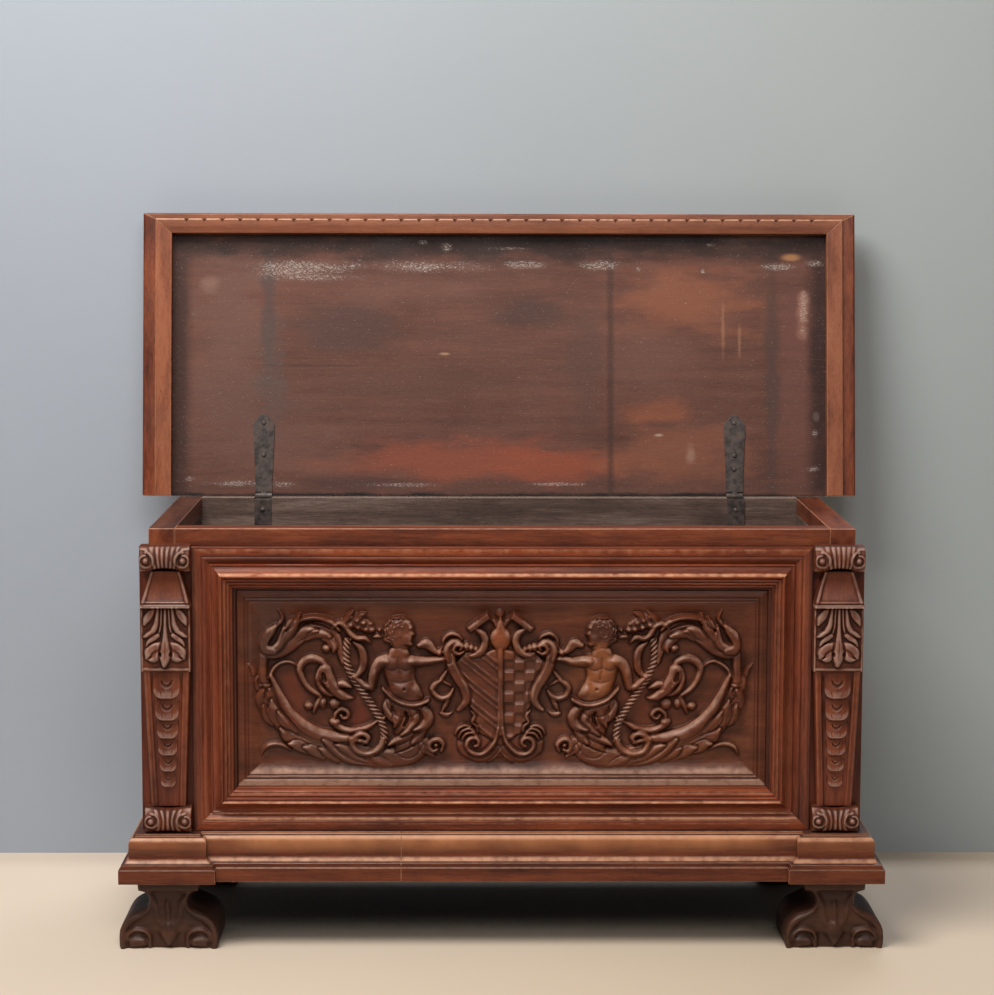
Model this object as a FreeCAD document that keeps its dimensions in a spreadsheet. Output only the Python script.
# Walnut chest (cassone) with a carved front, scroll feet and a lid on two strap hinges.
# Millimetres. X runs to the chest's left-to-right as seen from the front, Y to the back, Z up.
# The origin is on the floor, under the middle of the carcass.
# The lid pieces are drawn closed and then turned open about the hinge pins.
import FreeCAD
import Part
import math
import os
import re
import Sketcher

SIZES = {
    # Carcass and its rim
    "rim_width": 1200.0,
    "rim_depth": 473.0,
    "rim_top": 718.0,
    "rim_rail_height": 30.0,
    "rim_front_width": 45.0,
    "back_thickness": 28.0,
    "side_thickness": 26.0,
    "front_thickness": 24.0,
    "front_set_back": 20.0,
    "floor_thickness": 18.0,
    "floor_gap": 1.0,
    "base_rail_thickness": 22.0,
    "base_rail_width": 90.0,
    "side_frame_thickness": 18.0,
    "side_frame_width": 70.0,
    # Moulded frame and carved panel of the front
    "frame_member_width": 76.0,
    "frame_crest": 46.0,
    "panel_thickness": 24.0,
    "panel_border": 18.0,
    "panel_recess": 10.0,
    "panel_slope_angle": 25.0,
    # Pilasters
    "pilaster_width": 84.0,
    "pilaster_overhang": 11.0,
    "pilaster_plate_proud": 2.0,
    "capital_rise": 4.0,
    "capital_height": 44.0,
    "capital_projection": 48.0,
    "corbel_height": 170.0,
    "corbel_neck_height": 55.0,
    "corbel_neck_width": 50.0,
    "corbel_projection": 46.0,
    "corbel_neck_projection": 30.0,
    "corbel_foot_projection": 38.0,
    "corbel_fillet": 5.0,
    "herm_top_projection": 34.0,
    "herm_foot_projection": 18.0,
    "herm_foot_width": 55.0,
    "base_scroll_width": 79.0,
    "base_scroll_height": 44.0,
    "base_scroll_projection": 40.0,
    "scroll_waist": 7.0,
    # Plinth
    "plinth_height": 81.0,
    "plinth_projection": 47.0,
    "plinth_side_projection": 40.0,
    "plinth_block_projection": 65.0,
    "plinth_seam": 172.0,
    "fascia_height": 24.0,
    "fillet_height": 8.0,
    "fillet_step": 4.0,
    "cove_radius": 12.0,
    "ovolo_radius": 11.0,
    "plinth_lip": 4.0,
    # Feet
    "foot_height": 117.0,
    "foot_width": 168.0,
    "foot_depth": 136.0,
    "rear_foot_depth": 110.0,
    "foot_projection": 50.0,
    # Lid
    "lid_side_overhang": 67.5,
    "lid_front_overhang": 57.0,
    "lid_thickness": 22.0,
    "lid_side_edge": 24.0,
    "lid_front_edge": 11.4,
    "lid_edge_drop": 18.0,
    "lid_edge_round": 10.0,
    "lid_edge_soften": 4.5,
    "lid_seam": 258.0,
    "strip_side_width": 30.0,
    "strip_front_width": 27.0,
    "strip_drop": 24.0,
    "notch_pitch": 33.5,
    "notch_width": 10.0,
    "notch_depth": 5.0,
    "notch_height": 6.0,
    "lid_open_angle": 97.9,
    # Hinges
    "hinge_inset": 158.0,
    "iron_thickness": 2.8,
    "pin_radius": 4.0,
    "pin_clearance": 0.05,
    "leaf_gap": 0.2,
    "knuckle_clearance": 0.8,
    "leaf_width": 31.0,
    "leaf_drop": 50.0,
    "notch_clearance": 0.7,
    "strap_length": 153.0,
    "strap_wide": 39.0,
    "strap_wide_place": 112.0,
    "strap_tip": 18.0,
    "knuckle_length": 10.0,
    # Hand-made nails
    "nail_head_radius": 4.5,
    "nail_crown_radius": 2.2,
    "nail_head_height": 1.8,
    "nail_shank_radius": 1.6,
    "nail_shank_length": 16.0,
    "nail_hole_clearance": 0.1,
    "nail_upper": 137.0,
    "nail_lower": 76.0,
    "nail_third": 50.0,
    "leaf_nail_place": 22.0,
    # Cutting tools run past the wood by this much
    "overrun": 5.0,
}

# Places worked out from the sizes
FRONT = "(-rim_depth / 2)"
BACK = "(rim_depth / 2)"
BACK_INNER = f"({BACK} - back_thickness)"
CORE_FRONT = f"({FRONT} + front_set_back)"
CORE_BACK = f"({CORE_FRONT} + front_thickness)"
RIM_HALF = "(rim_width / 2)"
RIM_UNDERSIDE = "(rim_top - rim_rail_height)"
SIDE_OUTER = f"({RIM_HALF} - side_frame_thickness)"
SIDE_INNER = f"({SIDE_OUTER} - side_thickness)"
BASE_TOP = "(foot_height + base_rail_thickness)"
PLINTH_TOP = "(foot_height + plinth_height)"
FRAME_HALF = f"({RIM_HALF} + pilaster_overhang - pilaster_width)"
OPENING_HALF = f"({FRAME_HALF} - frame_member_width)"
OPENING_TOP = f"({RIM_UNDERSIDE} - frame_member_width)"
OPENING_FOOT = f"({PLINTH_TOP} + frame_member_width)"
PILASTER_CENTRE = f"({FRAME_HALF} + pilaster_width / 2)"
PILASTER_OUTER = f"({FRAME_HALF} + pilaster_width)"
PLATE_FRONT = f"({FRONT} - pilaster_plate_proud)"
PLINTH_OUTER = f"({PILASTER_OUTER} + plinth_side_projection)"
BLOCK_INNER = f"({FRAME_HALF} - plinth_side_projection)"
CAPITAL_TOP = f"({RIM_UNDERSIDE} + capital_rise)"
CAPITAL_FOOT = f"({CAPITAL_TOP} - capital_height)"
CORBEL_FOOT = f"({CAPITAL_FOOT} - corbel_height)"
HERM_FOOT = f"({PLINTH_TOP} + base_scroll_height)"
LID_HALF = f"({RIM_HALF} + lid_side_overhang)"
LID_FRONT = f"({FRONT} - lid_front_overhang)"
LID_TOP = "(rim_top + lid_thickness)"
BOARD_HALF = f"({LID_HALF} - lid_side_edge)"
BOARD_FRONT = f"({LID_FRONT} + lid_front_edge)"
STRIP_HALF = f"({BOARD_HALF} - strip_side_width)"
STRIP_FRONT = f"({BOARD_FRONT} + strip_front_width)"
STRIP_UNDERSIDE = "(rim_top - strip_drop)"
HINGE_PLACE = f"({RIM_HALF} - hinge_inset)"
PIN_Y = BACK
PIN_Z = "(rim_top - iron_thickness - leaf_gap + pin_radius)"
KNUCKLE_RADIUS = "(pin_radius + iron_thickness)"
LEAF_UNDERSIDE = f"({PIN_Z} - {KNUCKLE_RADIUS})"
LEAF_TOP = f"({LEAF_UNDERSIDE} + iron_thickness)"
STRAP_UNDERSIDE = "(rim_top - iron_thickness)"
PLATE_END = f"({PIN_Y} - {KNUCKLE_RADIUS} - knuckle_clearance)"
LEAF_INNER = f"({BACK_INNER} - iron_thickness)"
LEAF_NAIL_Z = "(rim_top - leaf_nail_place)"
SIDES = {"left": "-1", "right": "1"}
OTHER_TURN = {"left": "right", "right": "left"}

# Section of the frame members: shares of the member's width and of its crest height
FRAME_SECTION_SHARES = [
    (0, 0), (0, 0.70), (0.17, 0.70), (0.18, 0.59), (0.22, 0.59), (0.23, 0.70), (0.27, 0.75),
    (0.31, 0.70), (0.32, 0.61), (0.37, 0.61), (0.375, 0.67), (0.40, 0.67), (0.45, 0.72),
    (0.53, 0.87), (0.60, 0.96), (0.64, 1), (0.67, 0.96), (0.68, 0.83), (0.75, 0.83),
    (0.76, 0.74), (0.80, 0.74), (0.81, 0.65), (0.86, 0.65), (0.87, 0.57), (0.91, 0.57),
    (0.92, 0.39), (1, 0.39), (1, 0),
]

# Half outline of a scroll foot, from its top down to the floor: shares of the foot's half width
# and of its height, then the radius (a share of the height) and turn of the edge that follows
FOOT_OUTLINE_SHARES = [
    (0.63, 1, 0, ""), (0.63, 0.83, 0.26, "left"), (0.40, 0.65, 0.20, "left"), (0.62, 0.50, 0, ""),
    (0.88, 0.41, 0.22, "right"), (1, 0.20, 0.24, "right"), (0.93, 0, 0, ""),
    (0.42, 0, 0.15, "left"), (0.16, 0, 0, ""),
]

doc = FreeCAD.newDocument("Cassone")
sheet = doc.addObject("Spreadsheet::Sheet", "Sizes")
pieces = []


def fill_sheet():
    """Write every driving dimension into the sheet, its name beside it."""
    for row, (name, size) in enumerate(SIZES.items(), start=1):
        sheet.set(f"A{row}", name)
        sheet.set(f"B{row}", str(size))
        sheet.setAlias(f"B{row}", name)
    doc.recompute()


def linked(text):
    """An expression with each size's name pointing at its cell."""
    return re.sub(r"[a-z][a-z_]*", lambda word: f"Sizes.{word[0]}" if word[0] in SIZES else word[0], text)


def number(text):
    """The value that an expression has now."""
    return float(sheet.evalExpression(linked(text)))


def bind(item, prop, text):
    item.setExpression(prop, linked(text))


def finish(item, name):
    """Mark an object as one of the chest's pieces."""
    item.Label = name
    pieces.append(item)
    return item


def signed(side, text):
    return f"({SIDES[side]} * {text})"


def span(side, near, far):
    """Two distances from the chest's middle as a low and a high X on one side."""
    pair = (signed(side, near), signed(side, far))
    return pair if side == "right" else pair[::-1]


# Boards and solids

def board(name, across, deep, high):
    """A plain board from three pairs of expressions, low and high."""
    box = doc.addObject("Part::Box", name)
    for prop, axis, (low, top) in zip(("Length", "Width", "Height"), "xyz", (across, deep, high)):
        bind(box, prop, f"({top}) - ({low})")
        bind(box, f"Placement.Base.{axis}", low)
    return finish(box, name)


def edge_geometry(start, end, radius, turn):
    """One edge of an outline and which of its ends is the start."""
    if not turn:
        return Part.LineSegment(start, end), 1, 2
    chord = end - start
    rise = math.sqrt(max(radius ** 2 - (chord.Length / 2) ** 2, 0))
    normal = FreeCAD.Vector(-chord.y, chord.x, 0).normalize()
    ahead = 1 if turn == "left" else -1
    centre = (start + end) * 0.5 + normal * (rise * ahead)
    from_angle = math.atan2(start.y - centre.y, start.x - centre.x)
    to_angle = math.atan2(end.y - centre.y, end.x - centre.x)
    circle = Part.Circle(centre, FreeCAD.Vector(0, 0, 1), radius)
    if turn == "left":
        return Part.ArcOfCircle(circle, from_angle, to_angle), 1, 2
    return Part.ArcOfCircle(circle, to_angle, from_angle), 2, 1


def new_sketch(body, plane, offset):
    """A sketch on one of the body's own origin planes, moved along its normal."""
    sketch = body.newObject("Sketcher::SketchObject", f"{body.Name}_sketch")
    origin_plane = [item for item in body.Origin.OriginFeatures if item.Role == f"{plane}_Plane"][0]
    sketch.AttachmentSupport = (origin_plane, [""])
    sketch.MapMode = "FlatFace"
    bind(sketch, "AttachmentOffset.Base.z", offset)
    return sketch


def draw_outline(sketch, corners):
    """A closed outline. Corners are (across, up) or (across, up, radius, turn of the next edge)."""
    corners = [corner if len(corner) == 4 else corner + ("", "") for corner in corners]
    points = [FreeCAD.Vector(number(corner[0]), number(corner[1]), 0) for corner in corners]
    ends = []
    for index, (across, up, radius, turn) in enumerate(corners):
        following = points[(index + 1) % len(points)]
        size = number(radius) if turn else 0
        shape, first, last = edge_geometry(points[index], following, size, turn)
        sketch.addGeometry(shape)
        ends.append((first, last))
    for index, (first, last) in enumerate(ends):
        after = (index + 1) % len(ends)
        sketch.addConstraint(Sketcher.Constraint("Coincident", index, last, after, ends[after][0]))
    for index, (across, up, radius, turn) in enumerate(corners):
        first = ends[index][0]
        for kind, text in (("DistanceX", across), ("DistanceY", up)):
            constraint = Sketcher.Constraint(kind, -1, 1, index, first, number(text))
            bind(sketch, f"Constraints[{sketch.addConstraint(constraint)}]", text)
        if turn:
            constraint = Sketcher.Constraint("Radius", index, number(radius))
            bind(sketch, f"Constraints[{sketch.addConstraint(constraint)}]", radius)


def draw_circle(sketch, across, up, radius):
    """A circle held by its centre and radius."""
    centre = FreeCAD.Vector(number(across), number(up), 0)
    sketch.addGeometry(Part.Circle(centre, FreeCAD.Vector(0, 0, 1), number(radius)))
    for kind, text in (("DistanceX", across), ("DistanceY", up)):
        constraint = Sketcher.Constraint(kind, -1, 1, 0, 3, number(text))
        bind(sketch, f"Constraints[{sketch.addConstraint(constraint)}]", text)
    constraint = Sketcher.Constraint("Radius", 0, number(radius))
    bind(sketch, f"Constraints[{sketch.addConstraint(constraint)}]", radius)


def extrude(body, kind, plane, low, high, corners):
    """A pad or a pocket between two places on the plane's own axis."""
    # The XZ plane looks towards -Y, and a pocket runs against its plane's normal
    backwards = plane == "XZ"
    start = high if (kind == "Pad") == backwards else low
    sketch = new_sketch(body, plane, f"-({start})" if backwards else start)
    if isinstance(corners, tuple):
        draw_circle(sketch, *corners)
    else:
        draw_outline(sketch, corners)
    feature = body.newObject(f"PartDesign::{kind}", f"{body.Name}_{kind.lower()}")
    feature.Profile = sketch
    bind(feature, "Length", f"({high}) - ({low})")
    sketch.Visibility = False
    return feature


def pad(body, plane, low, high, corners):
    return extrude(body, "Pad", plane, low, high, corners)


def pocket(body, plane, low, high, corners):
    """A cut whose tool is checked to have taken wood away."""
    doc.recompute()
    before = body.Shape.Volume
    feature = extrude(body, "Pocket", plane, low, high, corners)
    doc.recompute()
    if body.Shape.Volume >= before:
        raise RuntimeError(f"{body.Name}: a pocket cuts nothing")
    return feature


def new_body(name):
    return doc.addObject("PartDesign::Body", name)


def prism(name, plane, low, high, corners):
    body = new_body(name)
    pad(body, plane, low, high, corners)
    return body


def overlap_of(name, first, second):
    """The wood that two prisms share, which mitres and returns a moulding."""
    common = doc.addObject("Part::Common", name)
    common.Base = first
    common.Tool = second
    return finish(common, name)


def rectangle(low_across, high_across, low_up, high_up):
    return [(low_across, low_up), (high_across, low_up), (high_across, high_up), (low_across, high_up)]


# Carcass

def back_board():
    """The back, with its top edge let down for the hinge leaves and holes for their nails."""
    across = (f"-{SIDE_INNER}", SIDE_INNER)
    body = prism("back_board", "XZ", BACK_INNER, BACK, rectangle(*across, BASE_TOP, "rim_top"))
    for side in SIDES:
        middle = signed(side, HINGE_PLACE)
        half = "(leaf_width / 2 + notch_clearance)"
        slot = rectangle(f"{middle} - {half}", f"{middle} + {half}", LEAF_UNDERSIDE, "rim_top + overrun")
        pocket(body, "XZ", f"({BACK_INNER} - overrun)", f"({BACK} + overrun)", slot)
        reach = f"({KNUCKLE_RADIUS} + notch_clearance)"
        pocket(body, "YZ", f"({middle} - {half})", f"({middle} + {half})", (PIN_Y, PIN_Z, reach))
        hole = (middle, LEAF_NAIL_Z, "nail_shank_radius + nail_hole_clearance")
        depth = f"({LEAF_INNER} + nail_shank_length + nail_hole_clearance)"
        pocket(body, "XZ", f"({BACK_INNER} - overrun)", depth, hole)
    finish(body, "back_board")


def carcass_boards():
    board("front_board", (f"-{SIDE_OUTER}", SIDE_OUTER), (CORE_FRONT, CORE_BACK), (BASE_TOP, RIM_UNDERSIDE))
    for side in SIDES:
        wall = span(side, SIDE_INNER, SIDE_OUTER)
        board(f"{side}_side_board", wall, (CORE_BACK, BACK), (BASE_TOP, RIM_UNDERSIDE))
        rail = span(side, SIDE_INNER, RIM_HALF)
        board(f"rim_{side}_rail", rail, (FRONT, BACK), (RIM_UNDERSIDE, "rim_top"))
    rim_deep = (FRONT, f"{FRONT} + rim_front_width")
    board("rim_front_rail", (f"-{SIDE_INNER}", SIDE_INNER), rim_deep, (RIM_UNDERSIDE, "rim_top"))


def bottom():
    """Two rails under the carcass and three floor boards that run from front to back."""
    rail_across = (f"-{SIDE_OUTER}", SIDE_OUTER)
    rail_high = ("foot_height", BASE_TOP)
    board("base_front_rail", rail_across, (CORE_FRONT, f"{CORE_FRONT} + base_rail_width"), rail_high)
    board("base_back_rail", rail_across, (f"{BACK} - base_rail_width", BACK), rail_high)
    for index, name in enumerate(("left", "middle", "right")):
        width = f"((2 * {SIDE_INNER} - 2 * floor_gap) / 3)"
        low = f"(-{SIDE_INNER} + {index} * ({width} + floor_gap))"
        high = (BASE_TOP, f"{BASE_TOP} + floor_thickness")
        board(f"floor_board_{name}", (low, f"{low} + {width}"), (CORE_BACK, BACK_INNER), high)


def side_frames():
    """A flat frame of two stiles and two rails on the outside of each end."""
    stile_inner = (f"{CORE_FRONT} + side_frame_width", f"{BACK} - side_frame_width")
    for side in SIDES:
        wall = span(side, SIDE_OUTER, RIM_HALF)
        full = (PLINTH_TOP, RIM_UNDERSIDE)
        board(f"{side}_front_stile", wall, (CORE_FRONT, stile_inner[0]), full)
        board(f"{side}_rear_stile", wall, (stile_inner[1], BACK), full)
        board(f"{side}_top_rail", wall, stile_inner, (f"{RIM_UNDERSIDE} - side_frame_width", RIM_UNDERSIDE))
        board(f"{side}_bottom_rail", wall, stile_inner, (PLINTH_TOP, f"{PLINTH_TOP} + side_frame_width"))


# Moulded frame and carved panel

def frame_section(outer, towards, plane):
    """The member's section. outer is its outer edge and towards the sign of the way in."""
    corners = []
    for width_share, height_share in FRAME_SECTION_SHARES:
        place = f"{outer} + {towards} * {width_share} * frame_member_width"
        front = f"{CORE_FRONT} - {height_share} * frame_crest"
        corners.append((front, place) if plane == "YZ" else (place, front))
    return corners


def frame_members():
    """Four mitred lengths of one moulding round the panel."""
    deep = (f"({CORE_FRONT} - frame_crest - overrun)", f"({CORE_FRONT} + overrun)")
    for name, outer, inner, towards in (
        ("frame_top", RIM_UNDERSIDE, OPENING_TOP, "-1"),
        ("frame_bottom", PLINTH_TOP, OPENING_FOOT, "1"),
    ):
        section = frame_section(outer, towards, "YZ")
        length = prism(f"{name}_length", "YZ", f"(-{FRAME_HALF})", FRAME_HALF, section)
        mitred = [(f"-{FRAME_HALF}", outer), (FRAME_HALF, outer), (OPENING_HALF, inner)]
        mitred += [(f"-{OPENING_HALF}", inner)]
        overlap_of(name, length, prism(f"{name}_mitres", "XZ", *deep, mitred))
    for side in SIDES:
        name = f"frame_{side}"
        outer = signed(side, FRAME_HALF)
        inner = signed(side, OPENING_HALF)
        section = frame_section(outer, "1" if side == "left" else "-1", "XY")
        length = prism(f"{name}_length", "XY", PLINTH_TOP, RIM_UNDERSIDE, section)
        mitred = [(outer, PLINTH_TOP), (inner, OPENING_FOOT), (inner, OPENING_TOP), (outer, RIM_UNDERSIDE)]
        overlap_of(name, length, prism(f"{name}_mitres", "XZ", *deep, mitred))


def carved_panel():
    """The panel inside the frame: a raised border round a sunk ground with sloping edges."""
    front = f"({CORE_FRONT} - panel_thickness)"
    outline = rectangle(f"-{OPENING_HALF}", OPENING_HALF, OPENING_FOOT, OPENING_TOP)
    body = prism("carved_panel", "XZ", front, CORE_FRONT, outline)
    half = f"({OPENING_HALF} - panel_border)"
    ground = rectangle(f"-{half}", half, f"{OPENING_FOOT} + panel_border", f"{OPENING_TOP} - panel_border")
    sunk = pocket(body, "XZ", f"({front} - overrun)", f"({front} + panel_recess)", ground)
    bind(sunk, "TaperAngle", "-panel_slope_angle")
    finish(body, "carved_panel")


# Pilasters

def two_way_block(name, middle, side_outline, front_outline, deep):
    """A carved block from its side outline and its front outline."""
    width = (f"({middle} - pilaster_width)", f"({middle} + pilaster_width)")
    length = prism(f"{name}_side", "YZ", *width, side_outline)
    overlap_of(name, length, prism(f"{name}_front", "XZ", *deep, front_outline))


def waisted(middle, half, low, high):
    """A front outline whose top and foot draw in between two scroll ends."""
    bow = f"(({half} ^ 2 + scroll_waist ^ 2) / (2 * scroll_waist))"
    return [
        (f"{middle} - {half}", low, bow, "right"), (f"{middle} + {half}", low),
        (f"{middle} + {half}", high), (f"{middle} - {half}", high),
    ]


def capital(side, middle, deep):
    """A scroll under the rim, round in front and drawn in below."""
    front = f"({FRONT} - capital_projection)"
    round_radius = "(capital_height / 2)"
    side_outline = [
        (PLATE_FRONT, CAPITAL_FOOT), (f"{front} + {round_radius}", CAPITAL_FOOT, round_radius, "right"),
        (front, f"{CAPITAL_FOOT} + {round_radius}", round_radius, "right"),
        (f"{front} + {round_radius}", CAPITAL_TOP), (PLATE_FRONT, CAPITAL_TOP),
    ]
    front_outline = waisted(middle, "(pilaster_width / 2)", CAPITAL_FOOT, CAPITAL_TOP)
    two_way_block(f"capital_{side}", middle, side_outline, front_outline, deep)


def corbel(side, middle, deep):
    """A concave neck that widens down to a leaf block."""
    ledge = f"({CAPITAL_FOOT} - corbel_neck_height)"
    block_top = f"({ledge} - corbel_fillet)"
    side_outline = [
        (PLATE_FRONT, CORBEL_FOOT), (f"{FRONT} - corbel_foot_projection", CORBEL_FOOT),
        (f"{FRONT} - corbel_projection + corbel_fillet", block_top),
        (f"{FRONT} - corbel_projection", block_top),
        (f"{FRONT} - corbel_projection", ledge, "corbel_neck_height * 1.1", "left"),
        (f"{FRONT} - corbel_neck_projection", CAPITAL_FOOT), (PLATE_FRONT, CAPITAL_FOOT),
    ]
    wide = "pilaster_width / 2"
    narrow = "corbel_neck_width / 2"
    front_outline = [
        (f"{middle} - {wide}", CORBEL_FOOT), (f"{middle} + {wide}", CORBEL_FOOT),
        (f"{middle} + {wide}", ledge), (f"{middle} + {narrow}", CAPITAL_FOOT),
        (f"{middle} - {narrow}", CAPITAL_FOOT), (f"{middle} - {wide}", ledge),
    ]
    two_way_block(f"corbel_{side}", middle, side_outline, front_outline, deep)


def herm_shaft(side, middle):
    """A shaft that tapers downwards in width and in depth."""
    shaft = doc.addObject("Part::Wedge", f"herm_shaft_{side}")
    plate = f"({FRONT} - {PLATE_FRONT})"
    for prop, text in (
        ("Xmin", "-herm_foot_width / 2"), ("Xmax", "herm_foot_width / 2"),
        ("X2min", "-pilaster_width / 2"), ("X2max", "pilaster_width / 2"),
        ("Ymin", "0"), ("Ymax", f"{CORBEL_FOOT} - {HERM_FOOT}"),
        ("Zmin", "0"), ("Zmax", f"herm_foot_projection - {plate}"),
        ("Z2min", "0"), ("Z2max", f"herm_top_projection - {plate}"),
    ):
        bind(shaft, prop, text)
    shaft.Placement = FreeCAD.Placement(FreeCAD.Vector(), FreeCAD.Rotation(FreeCAD.Vector(1, 0, 0), 90))
    for axis, text in zip("xyz", (middle, PLATE_FRONT, HERM_FOOT)):
        bind(shaft, f"Placement.Base.{axis}", text)
    finish(shaft, f"herm_shaft_{side}")


def base_scroll(side, middle, deep):
    """A bolster scroll that stands on the plinth."""
    front = f"({FRONT} - base_scroll_projection)"
    round_radius = "(base_scroll_height / 2)"
    side_outline = [
        (PLATE_FRONT, PLINTH_TOP), (f"{front} + {round_radius}", PLINTH_TOP, round_radius, "right"),
        (front, f"{PLINTH_TOP} + {round_radius}", round_radius, "right"),
        (f"{front} + {round_radius}", HERM_FOOT), (PLATE_FRONT, HERM_FOOT),
    ]
    front_outline = waisted(middle, "(base_scroll_width / 2)", PLINTH_TOP, HERM_FOOT)
    two_way_block(f"base_scroll_{side}", middle, side_outline, front_outline, deep)


def pilasters():
    deep = (f"({FRONT} - capital_projection - overrun)", PLATE_FRONT)
    for side in SIDES:
        middle = signed(side, PILASTER_CENTRE)
        plate = span(side, FRAME_HALF, PILASTER_OUTER)
        board(f"pilaster_plate_{side}", plate, (PLATE_FRONT, CORE_FRONT), (PLINTH_TOP, RIM_UNDERSIDE))
        capital(side, middle, deep)
        corbel(side, middle, deep)
        herm_shaft(side, middle)
        base_scroll(side, middle, deep)


# Plinth

def plinth_edge(front, way_in):
    """The moulding from the fascia's foot up to the lip. way_in is the sign of the way inwards."""
    def back_by(distance):
        return f"({front} + {way_in} * ({distance}))"

    fillet_foot = "(foot_height + fascia_height)"
    fillet_top = f"({fillet_foot} + fillet_height)"
    cove_top = f"({fillet_top} + cove_radius)"
    lip_foot = f"({PLINTH_TOP} - plinth_lip)"
    face = "fillet_step + cove_radius"
    turn = ("left", "right") if way_in == "1" else ("right", "left")
    return [
        (front, "foot_height"), (front, fillet_foot), (back_by("fillet_step"), fillet_foot),
        (back_by("fillet_step"), fillet_top, "cove_radius", turn[0]), (back_by(face), cove_top),
        (back_by(face), f"{lip_foot} - ovolo_radius", "ovolo_radius", turn[1]),
        (back_by(f"{face} + ovolo_radius"), lip_foot), (back_by(f"{face} + ovolo_radius"), PLINTH_TOP),
    ]


def plinth():
    """Two break-front blocks under the pilasters, two lengths between them, one at each end."""
    blocks = {}
    for side in SIDES:
        low, high = span(side, BLOCK_INNER, PLINTH_OUTER)
        front = f"({FRONT} - plinth_block_projection)"
        section = plinth_edge(front, "1") + [(CORE_FRONT, PLINTH_TOP), (CORE_FRONT, "foot_height")]
        length = prism(f"plinth_block_{side}_length", "YZ", low, high, section)
        returns = plinth_edge(low, "1") + plinth_edge(high, "-1")[::-1]
        returns = turned_edges(returns, len(plinth_edge(low, "1")))
        ends = prism(f"plinth_block_{side}_returns", "XZ", f"({front} - overrun)", CORE_FRONT, returns)
        blocks[side] = overlap_of(f"plinth_block_{side}", length, ends)
    for side in SIDES:
        front = f"({FRONT} - plinth_projection)"
        section = plinth_edge(front, "1") + [(CORE_FRONT, PLINTH_TOP), (CORE_FRONT, "foot_height")]
        seam = "(-plinth_seam)"
        low, high = (f"(-{FRAME_HALF})", seam) if side == "left" else (seam, FRAME_HALF)
        length = prism(f"plinth_front_{side}_length", "YZ", low, high, section)
        coped = doc.addObject("Part::Cut", f"plinth_front_{side}")
        coped.Base = length
        coped.Tool = blocks[side]
        finish(coped, f"plinth_front_{side}")
        outer = signed(side, PLINTH_OUTER)
        wall = signed(side, SIDE_OUTER)
        section = plinth_edge(outer, "1" if side == "left" else "-1")
        section += [(wall, PLINTH_TOP), (wall, "foot_height")]
        finish(prism(f"plinth_side_{side}", "XZ", CORE_FRONT, BACK, section), f"plinth_side_{side}")


def turned_edges(corners, first_half):
    """A profile read backwards has each arc on the corner before it, with the other turn."""
    forward = corners[:first_half]
    backward = [corner[:2] for corner in corners[first_half:]]
    for index, corner in enumerate(corners[first_half:]):
        if len(corner) == 4:
            backward[index - 1] = backward[index - 1] + (corner[2], OTHER_TURN[corner[3]])
    return forward + backward


# Feet

def foot_outline(middle):
    """The front outline of a scroll foot, its right half mirrored to the left."""
    right = []
    left = []
    for width_share, height_share, radius_share, turn in FOOT_OUTLINE_SHARES:
        reach = f"{width_share} * foot_width / 2"
        high = f"{height_share} * foot_height"
        radius = f"{radius_share} * foot_height"
        right.append((f"{middle} + {reach}", high) + ((radius, turn) if turn else ()))
        left.append((f"{middle} - {reach}", high) + ((radius, OTHER_TURN[turn]) if turn else ()))
    return turned_edges(right + left[::-1], len(right))


def feet():
    for side in SIDES:
        outline = foot_outline(signed(side, PILASTER_CENTRE))
        front = f"({FRONT} - foot_projection)"
        front_foot = prism(f"foot_front_{side}", "XZ", front, f"({front} + foot_depth)", outline)
        finish(front_foot, f"foot_front_{side}")
        rear_foot = prism(f"foot_rear_{side}", "XZ", f"({BACK} - rear_foot_depth)", BACK, outline)
        finish(rear_foot, f"foot_rear_{side}")


# Lid, drawn closed

def hang_on_hinge(item):
    """Turn a closed lid piece open about the hinge pins."""
    axis = FreeCAD.Vector(-1, 0, 0)
    item.Placement = FreeCAD.Placement(FreeCAD.Vector(), FreeCAD.Rotation(axis, number("lid_open_angle")))
    bind(item, "Placement.Rotation.Angle", "lid_open_angle")
    cosine, sine = "cos(lid_open_angle)", "sin(lid_open_angle)"
    bind(item, "Placement.Base.y", f"{PIN_Y} - ({PIN_Y} * {cosine} + {PIN_Z} * {sine})")
    bind(item, "Placement.Base.z", f"{PIN_Z} - ({PIN_Z} * {cosine} - {PIN_Y} * {sine})")


def lid_boards():
    """Two planks, the rear one cut round the hinge knuckles and drilled for the strap nails."""
    seam = f"({BACK} - lid_seam)"
    across = (f"-{BOARD_HALF}", BOARD_HALF)
    front = prism("lid_board_front", "XY", "rim_top", LID_TOP, rectangle(*across, BOARD_FRONT, seam))
    rear = prism("lid_board_rear", "XY", "rim_top", LID_TOP, rectangle(*across, seam, BACK))
    for side in SIDES:
        middle = signed(side, HINGE_PLACE)
        half = "(leaf_width / 2 + notch_clearance)"
        reach = f"({KNUCKLE_RADIUS} + notch_clearance)"
        pocket(rear, "YZ", f"({middle} - {half})", f"({middle} + {half})", (PIN_Y, PIN_Z, reach))
        for place in strap_nail_places(side):
            hole = (middle, f"{PIN_Y} - {place}", "nail_shank_radius + nail_hole_clearance")
            depth = f"({STRAP_UNDERSIDE} + nail_shank_length + nail_hole_clearance)"
            pocket(rear, "XY", "(rim_top - overrun)", depth, hole)
    for item, name in ((front, "lid_board_front"), (rear, "lid_board_rear")):
        hang_on_hinge(finish(item, name))


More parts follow.
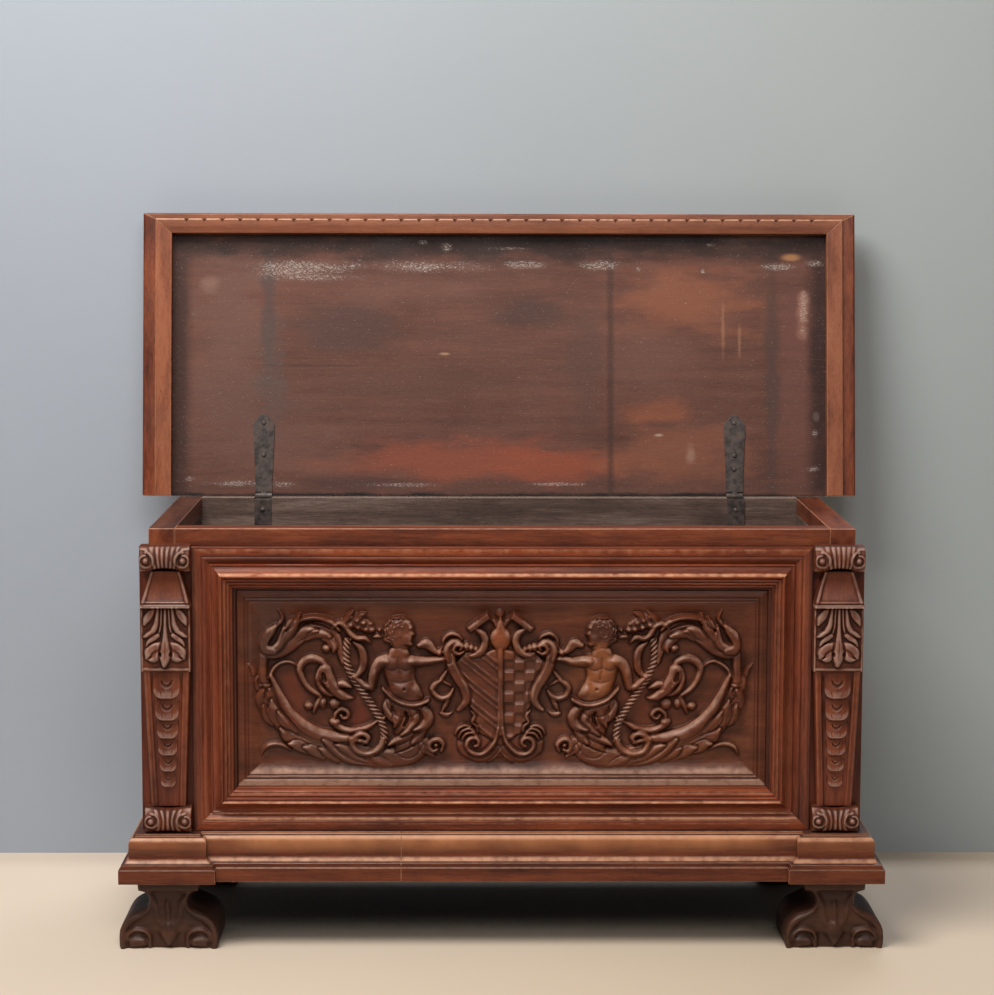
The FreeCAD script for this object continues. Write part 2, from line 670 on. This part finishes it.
def lid_edge_section(outer, inner, way_in):
    """A nosing with a round top arris and a softened lower one."""
    lower = "(rim_top - lid_edge_drop)"
    turn = "right" if way_in == "1" else "left"
    return [
        (inner, lower), (f"{outer} + {way_in} * lid_edge_soften", lower, "lid_edge_soften", turn),
        (outer, f"{lower} + lid_edge_soften"),
        (outer, f"{LID_TOP} - lid_edge_round", "lid_edge_round", turn),
        (f"{outer} + {way_in} * lid_edge_round", LID_TOP), (inner, LID_TOP),
    ]


def lid_edges():
    high = ("(rim_top - lid_edge_drop - overrun)", f"({LID_TOP} + overrun)")
    section = lid_edge_section(LID_FRONT, BOARD_FRONT, "1")
    length = prism("lid_edge_front_length", "YZ", f"(-{LID_HALF})", LID_HALF, section)
    mitred = [(f"-{LID_HALF}", LID_FRONT), (LID_HALF, LID_FRONT)]
    mitred += [(BOARD_HALF, BOARD_FRONT), (f"-{BOARD_HALF}", BOARD_FRONT)]
    mitres = prism("lid_edge_front_mitres", "XY", *high, mitred)
    hang_on_hinge(overlap_of("lid_edge_front", length, mitres))
    for side in SIDES:
        outer, inner = signed(side, LID_HALF), signed(side, BOARD_HALF)
        section = lid_edge_section(outer, inner, "1" if side == "left" else "-1")
        length = prism(f"lid_edge_{side}_length", "XZ", LID_FRONT, BACK, section)
        mitred = [(outer, LID_FRONT), (inner, BOARD_FRONT), (inner, BACK), (outer, BACK)]
        mitres = prism(f"lid_edge_{side}_mitres", "XY", *high, mitred)
        hang_on_hinge(overlap_of(f"lid_edge_{side}", length, mitres))


def lid_strips():
    """Strips under the lid that fall outside the rim; the front one has a notched arris."""
    high = (STRIP_UNDERSIDE, "rim_top")
    mitred = [
        (f"-{BOARD_HALF}", BOARD_FRONT), (BOARD_HALF, BOARD_FRONT),
        (STRIP_HALF, STRIP_FRONT), (f"-{STRIP_HALF}", STRIP_FRONT),
    ]
    front = prism("lid_strip_front", "XY", *high, mitred)
    count = f"floor((2 * {STRIP_HALF}) / notch_pitch)"
    first = f"(-({count} - 1) / 2 * notch_pitch)"
    vee = [
        (f"{first} - notch_width / 2", BOARD_FRONT), (f"{first} + notch_width / 2", BOARD_FRONT),
        (first, f"{BOARD_FRONT} + notch_depth"),
    ]
    notch = pocket(front, "XY", f"({STRIP_UNDERSIDE} - overrun)", f"({STRIP_UNDERSIDE} + notch_height)", vee)
    row = front.newObject("PartDesign::LinearPattern", "notch_row")
    row.Originals = [notch]
    row.Direction = ([item for item in front.Origin.OriginFeatures if item.Role == "X_Axis"][0], [""])
    bind(row, "Length", f"({count} - 1) * notch_pitch")
    bind(row, "Occurrences", count)
    front.Tip = row
    hang_on_hinge(finish(front, "lid_strip_front"))
    for side in SIDES:
        outer, inner = signed(side, BOARD_HALF), signed(side, STRIP_HALF)
        mitred = [(outer, BOARD_FRONT), (inner, STRIP_FRONT), (inner, BACK), (outer, BACK)]
        hang_on_hinge(finish(prism(f"lid_strip_{side}", "XY", *high, mitred), f"lid_strip_{side}"))


# Hinges

def strap_nail_places(side):
    """Distances of a strap's nails from the pin: two on the left strap, three on the right."""
    places = ["nail_upper", "nail_lower"]
    return places + ["nail_third"] if side == "right" else places


def strap(side):
    """The strap under the lid, with the middle knuckle."""
    middle = signed(side, HINGE_PLACE)
    tip = f"({PIN_Y} - strap_length)"
    wide = f"({PIN_Y} - strap_wide_place)"
    half_outline = [
        ("leaf_width / 2", PLATE_END), ("leaf_width / 2", BACK_INNER), ("strap_wide / 2", wide),
        ("strap_wide / 2", f"{tip} + strap_tip"), ("strap_tip / 4", tip),
    ]
    outline = [(f"{middle} - {reach}", along) for reach, along in half_outline]
    outline += [(f"{middle} + {reach}", along) for reach, along in half_outline[::-1]]
    body = prism(f"hinge_{side}_strap", "XY", STRAP_UNDERSIDE, "rim_top", outline)
    half = "(knuckle_length / 2)"
    low, high = f"({middle} - {half})", f"({middle} + {half})"
    neck = rectangle(low, high, f"{PLATE_END} - knuckle_clearance", PIN_Y)
    pad(body, "XY", STRAP_UNDERSIDE, "rim_top", neck)
    pad(body, "YZ", low, high, (PIN_Y, PIN_Z, KNUCKLE_RADIUS))
    pocket(body, "YZ", f"({low} - overrun)", f"({high} + overrun)", (PIN_Y, PIN_Z, "pin_radius"))
    for place in strap_nail_places(side):
        hole = (middle, f"{PIN_Y} - {place}", "nail_shank_radius + nail_hole_clearance")
        pocket(body, "XY", f"({STRAP_UNDERSIDE} - overrun)", "(rim_top + overrun)", hole)
    hang_on_hinge(finish(body, f"hinge_{side}_strap"))


def leaf(side):
    """The leaf that lies in the back board's notch and turns down inside the chest."""
    middle = signed(side, HINGE_PLACE)
    low, high = f"({middle} - leaf_width / 2)", f"({middle} + leaf_width / 2)"
    bent = [
        (LEAF_INNER, "rim_top - leaf_drop"), (BACK_INNER, "rim_top - leaf_drop"),
        (BACK_INNER, LEAF_UNDERSIDE), (PIN_Y, LEAF_UNDERSIDE), (PIN_Y, LEAF_TOP), (LEAF_INNER, LEAF_TOP),
    ]
    body = prism(f"hinge_{side}_leaf", "YZ", low, high, bent)
    pad(body, "YZ", low, high, (PIN_Y, PIN_Z, KNUCKLE_RADIUS))
    slot_half = "(knuckle_length / 2 + notch_clearance / 2)"
    slot = rectangle(PLATE_END, f"{PIN_Y} + {KNUCKLE_RADIUS} + overrun",
                     f"{LEAF_UNDERSIDE} - overrun", f"{PIN_Z} + {KNUCKLE_RADIUS} + overrun")
    pocket(body, "YZ", f"({middle} - {slot_half})", f"({middle} + {slot_half})", slot)
    pocket(body, "YZ", f"({low} - overrun)", f"({high} + overrun)", (PIN_Y, PIN_Z, "pin_radius"))
    hole = (middle, LEAF_NAIL_Z, "nail_shank_radius + nail_hole_clearance")
    pocket(body, "XZ", f"({LEAF_INNER} - overrun)", f"({BACK_INNER} + overrun)", hole)
    finish(body, f"hinge_{side}_leaf")


def group(name, solids):
    """Like fasteners kept together as separate solids."""
    compound = doc.addObject("Part::Compound", name)
    compound.Links = solids
    return finish(compound, name)


def hinge_pins():
    pins = []
    for side in SIDES:
        pin = doc.addObject("Part::Cylinder", f"pin_{side}")
        bind(pin, "Radius", "pin_radius - pin_clearance")
        bind(pin, "Height", "leaf_width")
        along = FreeCAD.Rotation(FreeCAD.Vector(0, 1, 0), 90)
        pin.Placement = FreeCAD.Placement(FreeCAD.Vector(), along)
        middle = signed(side, HINGE_PLACE)
        for axis, text in zip("xyz", (f"{middle} - leaf_width / 2", PIN_Y, PIN_Z)):
            bind(pin, f"Placement.Base.{axis}", text)
        pins.append(pin)
    group("hinge_pins", pins)


def nail(name, place, axis, angle):
    """A shank with a faceted head, its underside at place and its shank along the turned Z."""
    shank = doc.addObject("Part::Cylinder", f"{name}_shank")
    bind(shank, "Radius", "nail_shank_radius")
    bind(shank, "Height", "nail_shank_length")
    head = doc.addObject("Part::Cone", f"{name}_head")
    bind(head, "Radius1", "nail_crown_radius")
    bind(head, "Radius2", "nail_head_radius")
    bind(head, "Height", "nail_head_height")
    bind(head, "Placement.Base.z", "-nail_head_height")
    whole = doc.addObject("Part::Fuse", name)
    whole.Base = shank
    whole.Tool = head
    whole.Placement = FreeCAD.Placement(FreeCAD.Vector(), FreeCAD.Rotation(FreeCAD.Vector(*axis), angle))
    for letter, text in zip("xyz", place):
        bind(whole, f"Placement.Base.{letter}", text)
    return whole


def nails():
    in_lid = []
    in_back = []
    for side in SIDES:
        middle = signed(side, HINGE_PLACE)
        for index, distance in enumerate(strap_nail_places(side), start=1):
            place = (middle, f"{PIN_Y} - {distance}", STRAP_UNDERSIDE)
            in_lid.append(nail(f"strap_nail_{side}_{index}", place, (0, 0, 1), 0))
        place = (middle, LEAF_INNER, LEAF_NAIL_Z)
        in_back.append(nail(f"leaf_nail_{side}", place, (1, 0, 0), -90))
    hang_on_hinge(group("strap_nails", in_lid))
    group("leaf_nails", in_back)


# Building and writing

def check_document():
    """Stop if any object failed or any piece's shape is not sound."""
    for item in doc.Objects:
        if {"Invalid", "Error"} & set(item.State):
            raise RuntimeError(f"{item.Name} failed: {item.State}")
    for item in pieces:
        if item.Shape.isNull() or not item.Shape.isValid() or not item.Shape.Solids:
            raise RuntimeError(f"{item.Label} has no sound solid")


def main():
    fill_sheet()
    back_board()
    carcass_boards()
    bottom()
    side_frames()
    frame_members()
    carved_panel()
    pilasters()
    plinth()
    feet()
    lid_boards()
    lid_edges()
    lid_strips()
    for side in SIDES:
        strap(side)
        leaf(side)
    hinge_pins()
    nails()
    doc.recompute()
    check_document()
    os.makedirs("parts", exist_ok=True)
    for item in pieces:
        item.Shape.exportStep(f"parts/{item.Label}.step")
    print(len(pieces), "pieces written")


main()
